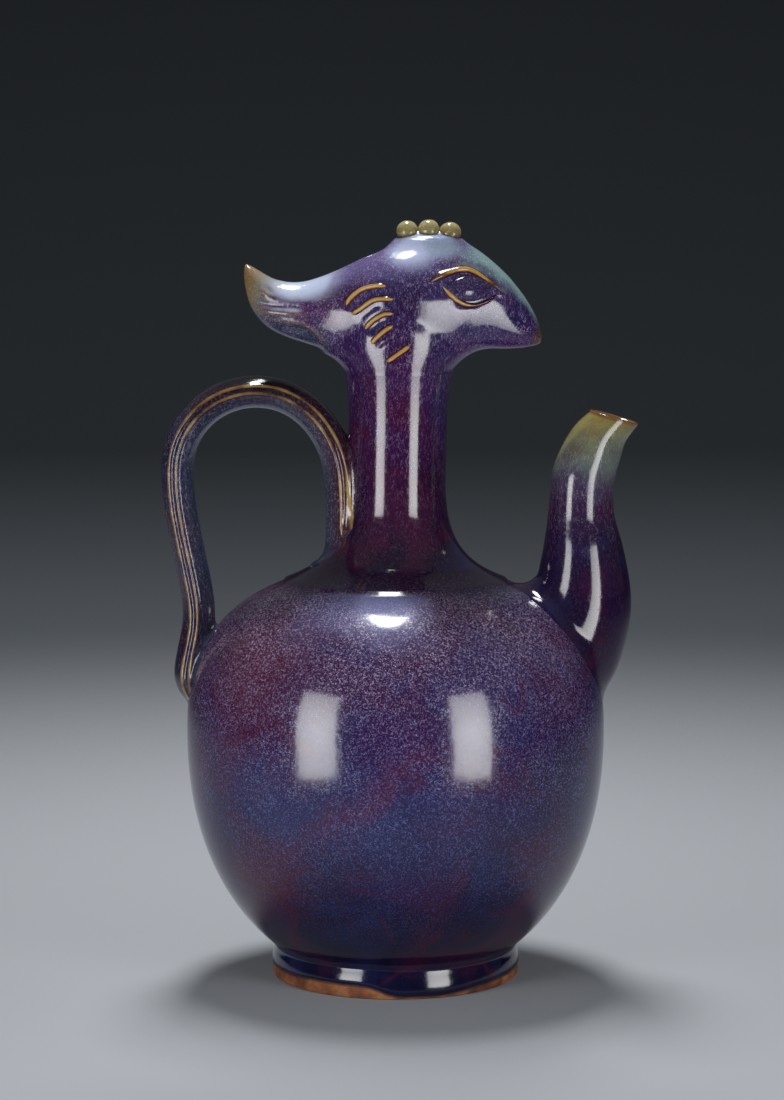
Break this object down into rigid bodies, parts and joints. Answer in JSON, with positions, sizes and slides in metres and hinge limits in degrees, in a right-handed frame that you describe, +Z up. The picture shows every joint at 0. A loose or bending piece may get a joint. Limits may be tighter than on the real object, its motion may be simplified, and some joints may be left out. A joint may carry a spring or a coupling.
{
  "type": "phoenix-head ewer",
  "caption": "Glazed stoneware ewer with a round belly, a tall neck ending in a phoenix head, a strap handle and a curved pouring spout.",
  "frame": {"origin": "centre of the foot ring on the surface the ewer stands on", "axes": "+Z up, +X towards the beak and the spout, the handle and the crest point to -X, +Y to the far side"},
  "size_m": [0.1882, 0.1656, 0.3001],
  "materials": {
    "bare_clay": "unglazed burnt orange stoneware",
    "belly_glaze": "glossy violet and blue mottled glaze with pale speckle",
    "neck_glaze": "glossy plum glaze with pale vertical streaks",
    "head_glaze": "glossy violet glaze turning pale blue on top",
    "crest_glaze": "glossy pale blue glaze over violet, brown at the tip",
    "bead_glaze": "glossy olive tan glaze, thin over the clay",
    "ridge_glaze": "glossy amber glaze, thin over the clay",
    "eye_glaze": "glossy dark violet glaze",
    "handle_glaze": "glossy violet glaze with amber ribs",
    "spout_glaze": "glossy violet glaze fading to grey green at the mouth"
  },
  "bodies": {
    "root": {"foot_ring": "bare_clay", "body_lower": "belly_glaze", "body_upper": "belly_glaze", "neck": "neck_glaze", "head_near_half": "head_glaze", "head_far_half": "head_glaze", "crest": "crest_glaze", "crown_pad": "head_glaze", "crown_bead_rear": "bead_glaze", "crown_bead_middle": "bead_glaze", "crown_bead_front": "bead_glaze", "eyeball_near": "eye_glaze", "eyeball_far": "eye_glaze", "eyelid_upper_near": "ridge_glaze", "eyelid_upper_far": "ridge_glaze", "eyelid_lower_near": "ridge_glaze", "eyelid_lower_far": "ridge_glaze", "cheek_feather_near_1": "ridge_glaze", "cheek_feather_near_2": "ridge_glaze", "cheek_feather_near_3": "ridge_glaze", "cheek_feather_near_4": "ridge_glaze", "cheek_feather_near_5": "ridge_glaze", "cheek_feather_far_1": "ridge_glaze", "cheek_feather_far_2": "ridge_glaze", "cheek_feather_far_3": "ridge_glaze", "cheek_feather_far_4": "ridge_glaze", "cheek_feather_far_5": "ridge_glaze", "handle": "handle_glaze", "spout": "spout_glaze"}
  },
  "joints": []
}
